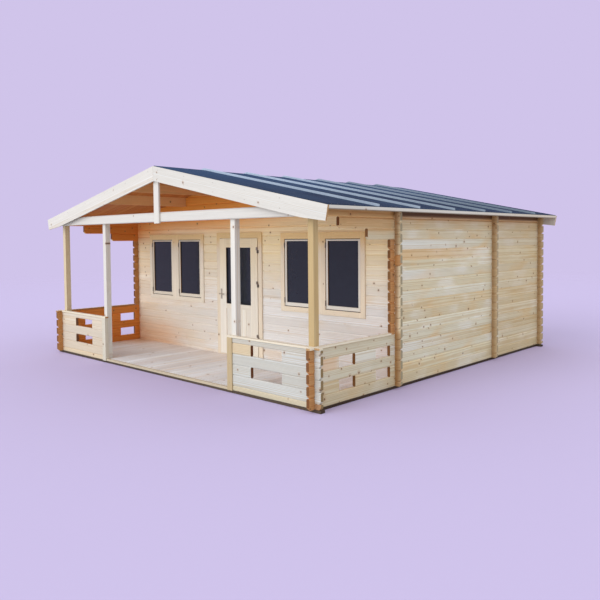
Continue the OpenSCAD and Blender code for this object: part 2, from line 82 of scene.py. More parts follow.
# Radius and rise of the heads of nails and screws
DECK_NAIL, FELT_NAIL, CASING_NAIL = (0.004, 0.003), (0.006, 0.004), (0.003, 0.002)
BARGE_SCREW, RAIL_SCREW, PLATE_SCREW = (0.0045, 0.003), (0.004, 0.002), (0.003, 0.002)
KEY_EYE = 0.0042, 0.0014


def spot(x, y, z):
    return Vector((x, y + RAIL_Y, z + LOG_Z))


# Modelling by hand

def put_down():
    """Leave edit mode with nothing selected."""
    if bpy.context.mode != "OBJECT":
        bpy.ops.object.mode_set(mode="OBJECT")
    bpy.ops.object.select_all(action="DESELECT")


def take_up(piece):
    put_down()
    piece.select_set(True)
    bpy.context.view_layer.objects.active = piece


def settle(name):
    """Name the piece just added and put its place into its mesh."""
    piece = bpy.context.object
    piece.name = piece.data.name = name
    bpy.ops.object.transform_apply(location=True, rotation=True, scale=True)
    return piece


def block(name, lo, hi):
    put_down()
    bpy.ops.mesh.primitive_cube_add(size=1, location=(lo + hi) / 2)
    bpy.context.object.scale = hi - lo
    return settle(name)


def choose(piece, kind, wanted):
    """Open edit mode with the vertices, edges or faces selected whose corners pass the test."""
    take_up(piece)
    bpy.ops.object.mode_set(mode="EDIT")
    bpy.ops.mesh.select_mode(type=kind)
    bpy.ops.mesh.select_all(action="DESELECT")
    bpy.ops.object.mode_set(mode="OBJECT")
    mesh = piece.data
    for part in {"VERT": mesh.vertices, "EDGE": mesh.edges, "FACE": mesh.polygons}[kind]:
        corners = [part.co] if kind == "VERT" else [mesh.vertices[i].co for i in part.vertices]
        part.select = wanted(corners)
    bpy.ops.object.mode_set(mode="EDIT")


def ease(piece, wanted, width, segments=1):
    """Bevel the chosen edges."""
    choose(piece, "EDGE", wanted)
    bpy.ops.mesh.bevel(offset=width, segments=segments, affect="EDGES")
    put_down()


def shift(piece, wanted, by):
    """Move the chosen vertices."""
    choose(piece, "VERT", wanted)
    bpy.ops.transform.translate(value=by)
    put_down()


def repeat(piece, count, by):
    take_up(piece)
    row = piece.modifiers.new("Row", "ARRAY")
    row.count = count
    row.use_relative_offset = False
    row.use_constant_offset = True
    row.constant_offset_displace = by
    bpy.ops.object.modifier_apply(modifier=row.name)
    return piece


def joined(name, pieces):
    take_up(pieces[0])
    for piece in pieces[1:]:
        piece.select_set(True)
    bpy.ops.object.join()
    pieces[0].name = pieces[0].data.name = name
    return pieces[0]


def near(a, b):
    return abs(a - b) < 1e-5


def along(axis, corners):
    """True for an edge that runs along one axis."""
    a, b = corners
    return all(near(a[i], b[i]) for i in range(3) if i != axis)


def plank_row(name, lo, hi, count, run, groove, up):
    """Boards side by side between two corners, run along one axis, grooved above or below."""
    across = 1 - run
    step = (hi[across] - lo[across]) / count
    first = hi.copy()
    first[across] = lo[across] + step - SEAM
    board = block(name, lo, first)
    level = hi.z if up else lo.z
    ease(board, lambda c: along(run, c) and near(c[0].z, level), groove)
    by = Vector((0, 0, 0))
    by[across] = step
    return repeat(board, count, by)


def nail_rows(name, first, size, steps, turn=(0, 0, 0)):
    """Round heads of one radius and rise, set in rows that are given by count and step."""
    radius, rise = size
    put_down()
    bpy.ops.mesh.primitive_cylinder_add(vertices=8, radius=radius, depth=rise, location=first, rotation=turn)
    head = settle(name)
    normal = Matrix.Rotation(turn[0], 3, "X") @ Vector((0, 0, 1))
    top = normal.dot(first) + rise / 2
    ease(head, lambda c: all(near(normal.dot(v), top) for v in c), rise * 0.4)
    for count, by in steps:
        repeat(head, count, by)
    return head


def bead_ring(name, x0, x1, z0, z1, y, width, depth):
    """A mitred bead around an opening in the XZ plane, from y back by its depth."""
    put_down()
    bpy.ops.mesh.primitive_plane_add(size=1, location=((x0 + x1) / 2, y, (z0 + z1) / 2),
                                     rotation=(math.pi / 2, 0, 0))
    bpy.context.object.scale = (x1 - x0, z1 - z0, 1)
    ring = settle(name)
    choose(ring, "FACE", lambda c: True)
    bpy.ops.mesh.inset(thickness=width)
    bpy.ops.mesh.delete(type="FACE")
    bpy.ops.mesh.select_all(action="SELECT")
    bpy.ops.mesh.extrude_region_move(TRANSFORM_OT_translate={"value": (0, depth, 0)})
    bpy.ops.mesh.select_all(action="SELECT")
    bpy.ops.mesh.normals_make_consistent(inside=False)
    inner = (x0 + width, x1 - width, z0 + width, z1 - width)
    ease(ring, lambda c: all(near(v.y, y) for v in c) and any(
        all(near(v[i // 2 * 2], inner[i]) for v in c) for i in range(4)), width * 0.45, 2)
    return ring


# Shader trees

class Tree:
    """Adds nodes to a material or a group and wires them."""

    def __init__(self, tree):
        self.tree = tree
        tree.nodes.clear()

    def wire(self, made, wires):
        for key, value in wires.items():
            if isinstance(value, bpy.types.NodeSocket):
                self.tree.links.new(value, made.inputs[key])
            else:
                made.inputs[key].default_value = value

    def node(self, kind, wires=None, **settings):
        made = self.tree.nodes.new(kind)
        for key, value in settings.items():
            setattr(made, key, value)
        self.wire(made, wires or {})
        return made

    def sum(self, operation, *values):
        return self.node("ShaderNodeMath", dict(enumerate(values)), operation=operation).outputs[0]

    def times(self, a, b):
        return self.sum("MULTIPLY", a, b)

    def above(self, value, level):
        return self.sum("GREATER_THAN", value, level)

    def below(self, value, level):
        return self.sum("LESS_THAN", value, level)

    def vector(self, operation, *values):
        made = self.node("ShaderNodeVectorMath", dict(enumerate(values)), operation=operation)
        return made.outputs["Value" if operation in ("DOT_PRODUCT", "LENGTH") else "Vector"]

    def split(self, vector):
        return self.node("ShaderNodeSeparateXYZ", {0: vector}).outputs

    def gather(self, x, y, z):
        return self.node("ShaderNodeCombineXYZ", {0: x, 1: y, 2: z}).outputs[0]

    def mix(self, share, a, b, blend="MIX"):
        made = self.node("ShaderNodeMix", {0: share, 6: a, 7: b}, data_type="RGBA", blend_type=blend)
        return made.outputs[2]

    def step(self, value, low, high, to_low=0.0, to_high=1.0):
        wires = {"Value": value, "From Min": low, "From Max": high, "To Min": to_low, "To Max": to_high}
        return self.node("ShaderNodeMapRange", wires, interpolation_type="SMOOTHSTEP").outputs[0]

    def noise(self, vector, scale, detail=2.0, rough=0.5):
        wires = {"Vector": vector, "Scale": scale, "Detail": detail, "Roughness": rough}
        return self.node("ShaderNodeTexNoise", wires).outputs["Fac"]

    def ramp(self, value, tones):
        made = self.node("ShaderNodeValToRGB", {0: value})
        stops = made.color_ramp.elements
        for i, colour in enumerate(tones):
            place = i / max(1, len(tones) - 1)
            stop = stops[i] if i < len(stops) else stops.new(place)
            stop.position = place
            stop.color = colour
        return made.outputs["Color"]

    def use(self, group, wires):
        return self.node("ShaderNodeGroup", wires, node_tree=bpy.data.node_groups[group]).outputs

    def place(self):
        return self.node("ShaderNodeTexCoord").outputs["Object"]

    def seen(self):
        """1 for what the camera sees, straight or in glass, and 0 for light that only bounces."""
        rays = self.node("ShaderNodeLightPath").outputs
        glass = self.sum("MAXIMUM", rays["Is Glossy Ray"], rays["Is Transmission Ray"])
        return self.sum("MAXIMUM", rays["Is Camera Ray"], glass)

    def shade(self, wires, height=None, strength=0.0, distance=0.0):
        """End in a plain shader, with a relief if a height is given."""
        if height is not None:
            relief = self.node("ShaderNodeBump", {"Strength": strength, "Distance": distance, "Height": height})
            wires = {**wires, "Normal": relief.outputs[0]}
        shader = self.node("ShaderNodeBsdfPrincipled", wires)
        self.node("ShaderNodeOutputMaterial", {"Surface": shader.outputs[0]})


SOCKETS = {"v": "NodeSocketVector", "f": "NodeSocketFloat", "c": "NodeSocketColor"}


def new_group(name, inputs, outputs):
    """A shader group whose sockets are given as name and kind."""
    tree = bpy.data.node_groups.new(name, "ShaderNodeTree")
    for label, kind in inputs:
        tree.interface.new_socket(label, in_out="INPUT", socket_type=SOCKETS[kind])
    for label, kind in outputs:
        tree.interface.new_socket(label, in_out="OUTPUT", socket_type=SOCKETS[kind])
    t = Tree(tree)
    return t, t.node("NodeGroupInput").outputs, t.node("NodeGroupOutput")


def new_material(name):
    material = bpy.data.materials.new(name)
    material.use_nodes = True
    return material, Tree(material.node_tree)


def tone(code):
    """Linear colour from a six-digit code."""
    channels = [int(code[i:i + 2], 16) / 255 for i in (0, 2, 4)]
    return tuple(c / 12.92 if c <= 0.04045 else ((c + 0.055) / 1.055) ** 2.4 for c in channels) + (1.0,)


def timber_cell():
    """Which timber a point lies in: a random pick for it, and the place within it."""
    t, given, out = new_group("timber_cell", [("Place", "v"), ("Origin", "v"), ("Cell", "v"), ("Part", "f"),
                                              ("Salt", "f")], [("Local", "v"), ("Pick", "c")])
    inside = t.vector("SUBTRACT", given["Place"], given["Origin"])
    index = t.vector("FLOOR", t.vector("DIVIDE", inside, given["Cell"]))
    middle = t.vector("MULTIPLY", t.vector("ADD", index, (0.5, 0.5, 0.5)), given["Cell"])
    key = t.vector("ADD", index, t.gather(t.times(given["Part"], 3.7), given["Part"], given["Salt"]))
    noise = t.node("ShaderNodeTexWhiteNoise", {"Vector": key}, noise_dimensions="3D")
    t.wire(out, {"Local": t.vector("SUBTRACT", inside, middle), "Pick": noise.outputs["Color"]})


KNOTS_X, KNOTS_Y, KNOTS_Z = 3.4, 0.5, 5.2  # places for a knot in a metre
RING_GAP = 0.012


def pine_figure():
    """Year rings, fibres and knots of a timber, with X along its grain."""
    t, given, out = new_group("pine_figure", [("Grain", "v"), ("Pick", "c"), ("Ring", "f"), ("Knots", "f")],
                              [("Rings", "f"), ("Fibre", "f"), ("Knot", "f"), ("Halo", "f"), ("Drift", "f")])
    # Each timber is cut from another place of the trunk.
    red, green, blue = t.split(given["Pick"])
    start = t.gather(t.times(red, 37.0), t.sum("MULTIPLY_ADD", green, 0.12, -0.01),
                     t.sum("MULTIPLY_ADD", blue, 0.16, -0.08))
    grain = t.vector("ADD", given["Grain"], start)
    # Knots, 6 to 15 mm in radius, with a darker halo
    cells = t.vector("MULTIPLY", grain, (KNOTS_X, KNOTS_Y, KNOTS_Z))
    spots = t.node("ShaderNodeTexVoronoi", {"Vector": cells, "Scale": 1.0, "Randomness": 1.0})
    pick, size, _ = t.split(spots.outputs["Color"])
    stretch = t.vector("MULTIPLY", t.vector("SUBTRACT", cells, spots.outputs["Position"]),
                       (1 / KNOTS_X, 0.0, 1 / KNOTS_Z))
    kept = t.below(pick, given["Knots"])
    wide = t.sum("MULTIPLY_ADD", size, 0.009, 0.006)
    far = t.sum("DIVIDE", t.vector("LENGTH", stretch), wide)
    knot = t.times(kept, t.step(far, 1.15, 0.75))
    halo = t.times(kept, t.step(far, 3.2, 0.8))
    # Year rings that bend around the knots
    x, y, z = t.split(grain)
    swirl = t.times(halo, 0.02)
    bent = t.gather(t.times(x, 0.05), t.sum("ADD", y, swirl), t.sum("ADD", z, swirl))
    scale = t.sum("DIVIDE", 0.314, given["Ring"])
    wave = t.node("ShaderNodeTexWave", {"Vector": bent, "Scale": scale, "Distortion": 3.2, "Detail": 2.0,
                                        "Detail Scale": 0.9}, wave_type="RINGS", rings_direction="X")
    fibre = t.noise(t.vector("MULTIPLY", grain, (5.0, 260.0, 260.0)), 1.0, 3.0, 0.6)
    streak = t.noise(t.vector("MULTIPLY", grain, (0.8, 42.0, 42.0)), 1.0, 2.0, 0.5)
    drift = t.noise(t.vector("MULTIPLY", grain, (1.0, 2.2, 2.2)), 1.0, 3.0, 0.5)
    t.wire(out, {"Rings": t.sum("POWER", wave.outputs["Fac"], 2.0),
                 "Fibre": t.sum("MULTIPLY_ADD", fibre, 0.6, t.times(streak, 0.4)),
                 "Knot": knot, "Halo": halo, "Drift": drift})


def timber_faces():
    """Masks for the sawn ends and for the bevelled joints of a timber that runs along one axis."""
    t, given, out = new_group("timber_faces", [("Run", "v")], [("End", "f"), ("Joint", "f")])
    normal = t.node("ShaderNodeTexCoord").outputs["Normal"]
    ends = t.sum("ABSOLUTE", t.vector("DOT_PRODUCT", normal, given["Run"]))
    x, y, z = t.split(t.vector("ABSOLUTE", normal))
    flat = t.sum("MAXIMUM", x, t.sum("MAXIMUM", y, z))
    t.wire(out, {"End": t.step(ends, 0.85, 0.97), "Joint": t.step(flat, 0.95, 0.8)})


def pine_tone():
    """Colour, roughness and height of planed pine from its figure."""
    t, given, out = new_group("pine_tone", [("Tone", "c"), ("End Tone", "c"), ("Rings", "f"), ("Fibre", "f"),
                                            ("Knot", "f"), ("Halo", "f"), ("End", "f"), ("Joint", "f"),
                                            ("Ring Strength", "f"), ("Joint Tone And Painted Light", "c")],
                              [("Color", "c"), ("Roughness", "f"), ("Height", "f")])
    late = t.mix(1.0, given["Tone"], tone("e2c9a6"), "MULTIPLY")
    body = t.mix(t.times(given["Rings"], given["Ring Strength"]), given["Tone"], late)
    streaks = t.step(given["Fibre"], 0.25, 0.75, 0.9, 1.06)
    body = t.mix(1.0, body, t.gather(streaks, streaks, streaks), "MULTIPLY")
    body = t.mix(t.times(given["Halo"], 0.25), body, tone("b98350"))
    body = t.mix(t.times(given["Knot"], 0.85), body, tone("654a30"))
    rings = t.times(given["Rings"], 0.4)
    ends = t.mix(rings, given["End Tone"], t.mix(1.0, given["End Tone"], tone("9a6a3c"), "MULTIPLY"))
    body = t.mix(given["End"], body, ends)
    # The joint factor scales the colour of the bevelled joints: below 1 it darkens them, above 1 it is painted
    # light that offsets the shade in their grooves.
    body = t.mix(given["Joint"], body, t.mix(1.0, body, given["Joint Tone And Painted Light"], "MULTIPLY"))
    height = t.sum("SUBTRACT", t.times(given["Fibre"], 0.5), t.times(given["Rings"], 0.35))
    t.wire(out, {"Color": body, "Roughness": t.step(given["Fibre"], 0.2, 0.8, 0.72, 0.56),
                 "Height": t.sum("MULTIPLY_ADD", given["Knot"], 0.6, height)})


timber_cell()
pine_figure()
timber_faces()
pine_tone()

RUNS = {"X": (1, 0, 0), "Y": (0, 1, 0), "Z": (0, 0, 1)}
ORDER = {"X": (0, 1, 2), "Y": (1, 0, 2), "Z": (2, 1, 0), "X flat": (0, 2, 1), "Y flat": (1, 2, 0)}
BLEACHED, HONEY, END_STAIN = "eeeeec", "e0bc84", "d8b48c"


# Cells along one axis, as their start and pitch

def one(middle):
    """A single timber across an axis, about its middle."""
    return middle - 5.0, 10.0


def two(first, second):
    """Two timbers across an axis, each about its middle."""
    return first - (second - first) / 2, second - first


def rows(start, pitch):
    return start, pitch


def pine(name, run, cells, tones, salt, rings=0.55, knots=0.2, joint=0.9, end="a0764c", tail_end=None,
         part=None, slope=0.0, other=None, tints=(), drift=0.0):
    """Pine whose timbers are told apart by their cells. other gives a second run and where it holds."""
    material, t = new_material(name)
    coords = t.node("ShaderNodeTexCoord").outputs
    at, normal = coords["Object"], coords["Normal"]
    place = at
    if slope:
        x, y, z = t.split(at)
        place = t.gather(x, y, t.sum("MULTIPLY_ADD", t.sum("ABSOLUTE", x), slope, z))
    origin, cell = zip(*cells)
    got = t.use("timber_cell", {"Place": place, "Origin": origin, "Cell": cell, "Salt": salt,
                                "Part": part(t, at) if part else 0.0})
    axes = t.split(got["Local"])
    grain = t.gather(*[axes[i] for i in ORDER[run]])
    run_axis = RUNS[run[0]]
    if other:
        other_run, holds = other
        share = holds(t, at)
        grain = t.mix(share, grain, t.gather(*[axes[i] for i in ORDER[other_run]]))
        run_axis = t.mix(share, RUNS[run[0]] + (1,), RUNS[other_run] + (1,))
    if callable(knots):
        knots = knots(t, at, normal)
    figure = t.use("pine_figure", {"Grain": grain, "Pick": got["Pick"], "Ring": RING_GAP, "Knots": knots})
    faces = t.use("timber_faces", {"Run": run_axis})
    pick = t.split(got["Pick"])
    colour = t.ramp(pick[0], [tone(c) for c in tones])
    if drift:
        colour = t.mix(t.step(figure["Drift"], 0.5, 0.32, 0.0, drift), colour, tone(BLEACHED))
        colour = t.mix(t.step(figure["Drift"], 0.52, 0.7, 0.0, drift), colour, tone(HONEY))
    for code, where in tints:
        colour = t.mix(where(t, at, normal), colour, tone(code))
    shade = t.step(pick[1], 0.0, 1.0, 0.95, 1.03)
    colour = t.mix(1.0, colour, t.gather(shade, shade, shade), "MULTIPLY")
    ends = t.mix(pick[2], tone(end), t.mix(1.0, tone(end), tone(END_STAIN), "MULTIPLY"))
    if tail_end:
        ends = t.mix(tails(1.0)(t, at, normal), ends, tone(tail_end))
    # joint above 1 paints light onto the bevelled joints, against the shade in their grooves.
    wood = t.use("pine_tone", {"Tone": colour, "End Tone": ends, "Rings": figure["Rings"],
                               "Fibre": figure["Fibre"], "Knot": figure["Knot"], "Halo": figure["Halo"],
                               "End": faces["End"], "Joint": faces["Joint"], "Ring Strength": rings,
                               "Joint Tone And Painted Light": (joint, joint, joint, 1.0)})
    t.shade({"Base Color": wood["Color"], "Roughness": wood["Roughness"], "Specular IOR Level": 0.3},
            wood["Height"], 0.25, 0.002)
    return material


# Parts: which piece of a sawn course a point lies in

def course_of(t, z, start):
    return t.sum("FLOOR", t.sum("DIVIDE", t.sum("SUBTRACT", z, start), COURSE))


def side_part(t, place):
    """The pieces that the cut-outs leave of the odd courses of a side rail."""
    _, y, z = t.split(place)
    odd = t.sum("MODULO", course_of(t, z, LOG_Z), 2.0)
    return t.times(odd, t.sum("ADD", *[t.above(y, middle + RAIL_Y) for middle in SIDE_CUT_YS]))


def front_part(t, place):
    """The pieces that the door and windows leave of a course of the front wall."""
    x, _, z = t.split(place)
    outer = t.times(t.above(z, SILL_Z + LOG_Z), t.above(t.sum("ABSOLUTE", x), WINDOW_X))
    piece = t.sum("MULTIPLY_ADD", outer, 2.0, t.above(x, 0.0))
    return t.times(piece, t.sum("SUBTRACT", 1.0, t.above(z, HEAD_Z + LOG_Z)))


def rail_part(t, place):
    """The pieces that the cut-outs leave of the even courses of a front rail."""
    x, _, z = t.split(place)
    even = t.sum("SUBTRACT", 1.0, t.sum("MODULO", course_of(t, z, CROSS_Z), 2.0))
    cut = t.times(even, t.above(z, LOG_Z + COURSE / 2))
    outer = t.times(cut, t.above(t.sum("ABSOLUTE", x), FRONT_CUT_X))
    return t.sum("MULTIPLY_ADD", outer, 2.0, t.above(x, 0.0))


def leaf_part(t, place):
    """The two stiles of the door leaf, apart from its rails."""
    x = t.split(place)[0]
    return t.sum("SUBTRACT", t.above(x, DOOR_X + GLASS_X), t.below(x, DOOR_X - GLASS_X))


# Where the second run of a material holds

def beyond_x(level, middle=0.0):
    def where(t, place):
        return t.above(t.sum("ABSOLUTE", t.sum("SUBTRACT", t.split(place)[0], middle)), level)
    return where


def window_uprights(t, place):
    """Jambs, mullion and sash stiles of the windows."""
    local = t.sum("ABSOLUTE", t.sum("SUBTRACT", t.sum("ABSOLUTE", t.split(place)[0]), WINDOW_X))
    return t.above(t.sum("ABSOLUTE", t.sum("SUBTRACT", local, SASH_MID)), SASH_VOID)


# Tints: how strong a second tone is at a point. Most of them are made for a largest strength.

def inward_x(t, place, normal):
    """Faces of the side walls that look into the cabin."""
    away = t.times(t.split(normal)[0], -1.0)
    return t.above(t.times(away, t.sum("SIGN", t.split(place)[0])), 0.5)


def inward_y(t, place, normal):
    """Faces of the front rail that look onto the porch."""
    return t.above(t.split(normal)[1], 0.5)


def grows(axis, none, full, most):
    def where(t, place, normal):
        return t.step(t.split(place)[axis], none, full, 0.0, most)
    return where


def toward_x(none_x, full_x, most):
    return grows(0, none_x, full_x, most)


def behind(none_y, full_y, most):
    return grows(1, none_y + RAIL_Y, full_y + RAIL_Y, most)


def high(none_z, full_z, most):
    return grows(2, none_z, full_z, most)


def one_side(axis, test, level, most):
    def where(t, place, normal):
        return t.times(t.sum(test, t.split(place)[axis], level), most)
    return where


def left_of(x, most):
    return one_side(0, "LESS_THAN", x, most)


def right_of(x, most):
    return one_side(0, "GREATER_THAN", x, most)


def low(z, most):
    return one_side(2, "LESS_THAN", z, most)


def both(first, second):
    """Where two tints meet."""
    def where(t, place, normal):
        return t.times(first(t, place, normal), second(t, place, normal))
    return where


def tails(most):
    """The ends of the cross logs that reach past the side walls."""
    def where(t, place, normal):
        return t.times(t.above(t.sum("ABSOLUTE", t.split(place)[0]), TAIL_X), most)
    return where


def tail_roots(most):
    """The shaded part of those ends close to the side walls."""
    def where(t, place, normal):
        x = t.sum("ABSOLUTE", t.split(place)[0])
        return t.times(t.above(x, TAIL_X), t.step(x, TAIL_X + 0.02, TAIL_X + 0.085, most, 0.0))
    return where


def side_tails(most):
    """The ends of the side logs that reach past the front rail, the front wall and the rear wall."""
    def where(t, place, normal):
        _, y, z = t.split(place)
        wall = t.times(t.above(z, RAIL_TOP + LOG_Z), t.below(z, CORBEL_Z + LOG_Z))
        front = t.times(wall, t.below(y, FRONT_Y - HALF_LOG + RAIL_Y))
        rail = t.below(y, RAIL_Y - HALF_LOG)
        rear = t.above(y, REAR_Y + HALF_LOG + RAIL_Y)
        return t.times(t.sum("MAXIMUM", front, t.sum("MAXIMUM", rail, rear)), most)
    return where


def one_log(x0, x1, course, most):
    """The log of one course of the front rail or the front wall, between two places."""
    def where(t, place, normal):
        x, _, z = t.split(place)
        rise = t.sum("ABSOLUTE", t.sum("SUBTRACT", z, LOG_Z + course * COURSE))
        span = t.times(t.above(x, x0), t.below(x, x1))
        return t.times(t.times(t.below(rise, COURSE / 2), span), most)
    return where


def side_log(course, full_y, none_y, most):
    """The side logs of one course, fading along the wall."""
    def where(t, place, normal):
        _, y, z = t.split(place)
        level = t.sum("COMPARE", course_of(t, z, LOG_Z), course, 0.1)
        return t.times(level, t.step(y, full_y + RAIL_Y, none_y + RAIL_Y, most, 0.0))
    return where


def knotty(few, many):
    """The share of knots, largest low on the side walls just behind the porch."""
    def where(t, place, normal):
        _, y, z = t.split(place)
        share = t.times(t.step(y, 3.4 + RAIL_Y, 1.7 + RAIL_Y), t.step(z, 1.6, 0.9))
        return t.sum("MULTIPLY_ADD", share, many - few, few)
    return where


WALL_TONES = ["dfdbcb", "ddd6c1", "dad0b5", "ddd5be", "d9cbad", "dcd1b7"]
FRONT_TONES = ["e6e7e8", "e2e0de", "e8e9eb", "e5e2de"]
RAIL_TONES = ["cacdce", "c8c9c6", "ccced0", "c6c2b8"]
PALE_TONES = ["e3e2e0", "e0deda", "e3e2e1"]
BARGE_TONES = ["dddcda", "dad8d6", "dddcdb"]
YELLOW_TONES = ["c6b392", "c0ac88"]
AMBER_SHADE_TONES = ["c97e42", "c07438", "cb8648"]
DECK_TONES = ["ecf1f8", "e4e3e6", "eff4fb", "dcd6d3"]
JOINERY_TONES = ["ece8df", "eae3d4", "edebe4"]
CASING_TONES = ["efe4d2", "ecdfc9", "f0e8d9"]
WHITE_LOG, JOINERY_END, SLATE = "e9eae8", "e2c08a", "4a5868"
# Painted warm shade at the heads of the window and door casings, under the porch roof.
WARM_SHADE_HEAD = [("f0cc84", high(1.7, 2.0, 0.75))]

WHOLE = one(0.0)
SIDES, WINDOWS = two(-SIDE_X, SIDE_X), two(-WINDOW_X, WINDOW_X)
AT_RAIL, AT_FRONT, AT_LEAF = one(RAIL_Y), one(FRONT_Y + RAIL_Y), one(LEAF_Y0 + RAIL_Y)
CROSS_COURSES = rows(CROSS_Z, COURSE)
FLOOR_CELLS = [rows(-INNER_X, PLANK), WHOLE, one(0.044)]

side_pine = pine("side_log_pine", "Y", [SIDES, WHOLE, rows(LOG_Z, COURSE)], WALL_TONES, 1.0,
                 knots=knotty(0.4, 0.95), joint=1.12, drift=0.6, end="8e663a", part=side_part,
                 tints=[(WHITE_LOG, side_log(3, 1.5, 3.6, 0.8)), (WHITE_LOG, side_log(10, 1.5, 3.4, 0.8)),
                        (WHITE_LOG, side_log(13, 1.5, 3.9, 0.8)), ("dcae74", side_log(12, 2.2, 4.6, 0.5)),
                        ("e6b88c", side_log(3, 0.3, 0.5, 0.7)), ("cbb48a", behind(3.9, 4.6, 0.45)),
                        # Painted shade under the eaves: the top of the side walls darkens to a deep brown band.
                        ("e6bc82", high(2.06, 2.25, 0.5)), ("a06a30", high(2.14, 2.22, 0.55)),
                        ("4a2c10", high(2.195, 2.235, 0.9)), ("c3b8a3", behind(1.5, 1.4, 0.35)),
                        # d8a866 is painted shade at the top of the side walls in front of the front wall, under
                        # the porch roof.
                        ("d8a866", both(behind(1.6, 1.4, 0.6), high(1.95, 2.1, 1.0))),
                        # Painted warm shade on the faces that look into the cabin (e08c40) and on the faces of the
                        # side log tails (c08a55).
                        ("e08c40", inward_x), ("c08a55", side_tails(0.95))])
front_pine = pine("front_log_pine", "X", [WHOLE, AT_FRONT, CROSS_COURSES], FRONT_TONES, 2.0, part=front_part,
                  end="b39a6e", tail_end="a69c82", joint=1.05, knots=0.25, drift=0.3, rings=0.45,
                  # Painted warm shade on the front wall under the porch roof: it grows towards the top, towards
                  # the left end and low down at the left, and the gable is tinted the same way.
                  tints=[("fdecc0", high(0.9, 2.0, 0.95)), ("f6e8d4", toward_x(0.2, -1.6, 0.4)),
                         ("f8d296", toward_x(-1.4, -2.9, 0.2)),
                         ("e0a468", both(toward_x(-1.2, -2.2, 0.55), high(0.62, 0.2, 1.0))),
                         ("ffa63a", both(toward_x(-1.6, -2.9, 0.6), high(1.8, 2.1, 1.0))),
                         ("feb462", both(high(1.95, 2.3, 1.0), toward_x(2.2, -1.0, 1.0))),
                         ("f4a244", high(2.3, 2.42, 0.85)),
                         # Painted shade on the faces of the log tails past the side walls, deepest close to the
                         # walls and low down.
                         ("dccfb0", tails(0.9)), ("a06f3c", tail_roots(0.75)),
                         ("a8783f", both(tails(0.6), high(0.78, 0.7, 1.0))),
                         ("c98f52", one_log(TAIL_X, PAST_TAILS, 12, 0.8))])
back_pine = pine("back_log_pine", "X", [WHOLE, two(PARTITION_Y + RAIL_Y, REAR_Y + RAIL_Y), CROSS_COURSES],
                 WALL_TONES, 3.0, end="b39a6e", tail_end="b4a284", knots=0.4, joint=1.08, drift=0.5,
                 # Painted shade on the faces of the log tails past the side walls, deepest close to the walls.
                 tints=[("d0b893", tails(0.9)), ("a67c4d", tail_roots(0.6))])
rail_pine = pine("rail_log_pine", "X", [WHOLE, AT_RAIL, CROSS_COURSES], RAIL_TONES, 4.0, part=rail_part,
                 end="86624a", tail_end="8f7a55", knots=0.35, joint=1.05,
                 tints=[("cfc2a2", low(LOG_Z + COURSE / 2, 0.7)), ("dcc08c", one_log(1.5, 1.92, 4, 0.6)),
                        # c9823e is painted warm shade on the faces that look onto the porch.
                        ("c9823e", inward_y), ("eed8bc", left_of(0.0, 0.45)),
                        # a06c3c is a painted shadow on the tails of the lowest course at the corners.
                        ("a06c3c", one_log(TAIL_X, PAST_TAILS, 0, 0.8))])
post_pine = pine("post_pine", "Z", [rows(-3.6, 1.4), one(0.063 + RAIL_Y), one(1.2)], PALE_TONES, 5.0,
                 rings=0.4, knots=0.35, tints=[("c6aa74", right_of(2.2, 0.9)), ("d8c49c", left_of(-2.2, 0.8))])
beam_pine = pine("beam_pine", "X", [WHOLE, AT_RAIL, one(2.27)], BARGE_TONES, 6.0, rings=0.35, knots=0.08)
king_pine = pine("king_pine", "Z", [WHOLE, AT_RAIL, one(2.5)], PALE_TONES, 7.0, rings=0.35, knots=0.08)
barge_pine = pine("barge_pine", "X", [two(-5.0, 5.0), two(ROOF_Y0 - BARGE_T / 2 + RAIL_Y,
                                                          ROOF_Y1 + BARGE_T / 2 + RAIL_Y), one(RIDGE_Z - 0.06)],
                  BARGE_TONES, 8.0, rings=0.4, slope=SLOPE, knots=0.08, end="c8ab80")
cap_pine = pine("cap_pine", "X", [SIDES, AT_RAIL, one(0.73)], ["e8e0d0", "e3d8c2"], 9.0, rings=0.4, knots=0.1,
                other=("Y", beyond_x(INNER_X)), end="c8a478")
stile_pine = pine("stile_pine", "Z", [two(-1.53, 1.53), AT_RAIL, one(0.35)], YELLOW_TONES, 10.0, rings=0.4,
                  tints=[("d8d4ca", left_of(0.0, 0.9))])
sill_pine = pine("sill_pine", "X", [WHOLE, AT_RAIL, one(0.06)], ["cbc0ac", "c4b8a0"], 11.0)
eave_pine = pine("eave_pine", "Y", [two(-3.23, 3.23), WHOLE, one(2.28)], ["dfdedd", "dddad5"], 12.0, rings=0.4,
                 # 6a5846 is a painted shadow line along the lower edge of the eave boards.
                 tints=[("d8c8b4", behind(2.5, 5.5, 0.6)), ("6a5846", low(2.266, 0.75))])
window_pine = pine("window_pine", "X", [WINDOWS, AT_FRONT, one(1.46)], CASING_TONES, 13.0, knots=0.05, rings=0.35,
                   other=("Z", window_uprights), end=JOINERY_END, tints=WARM_SHADE_HEAD)
sash_pine = pine("sash_pine", "X", [WINDOWS, AT_FRONT, one(1.46)], JOINERY_TONES, 22.0, knots=0.05, rings=0.3,
                 other=("Z", window_uprights), end=JOINERY_END)
door_frame_pine = pine("door_frame_pine", "X", [WHOLE, AT_FRONT, one(2.0)], CASING_TONES, 14.0, knots=0.05,
                       rings=0.35, other=("Z", beyond_x(0.455, DOOR_X)), end=JOINERY_END, tints=WARM_SHADE_HEAD)
leaf_pine = pine("leaf_pine", "X", [WHOLE, AT_LEAF, one(1.0)], JOINERY_TONES, 15.0, part=leaf_part, knots=0.05,
                 rings=0.35, other=("Z", beyond_x(GLASS_X, DOOR_X)), end=JOINERY_END,
                 # Painted warm shade towards the top of the leaf, under the porch roof.
                 tints=[("f2e0b4", high(0.9, 1.9, 0.6))])
panel_pine = pine("panel_pine", "Z", [rows(DOOR_X - GLASS_X, PANEL_PLANK), AT_LEAF, one(0.5)], JOINERY_TONES, 16.0,
                  knots=0.1, rings=0.4)
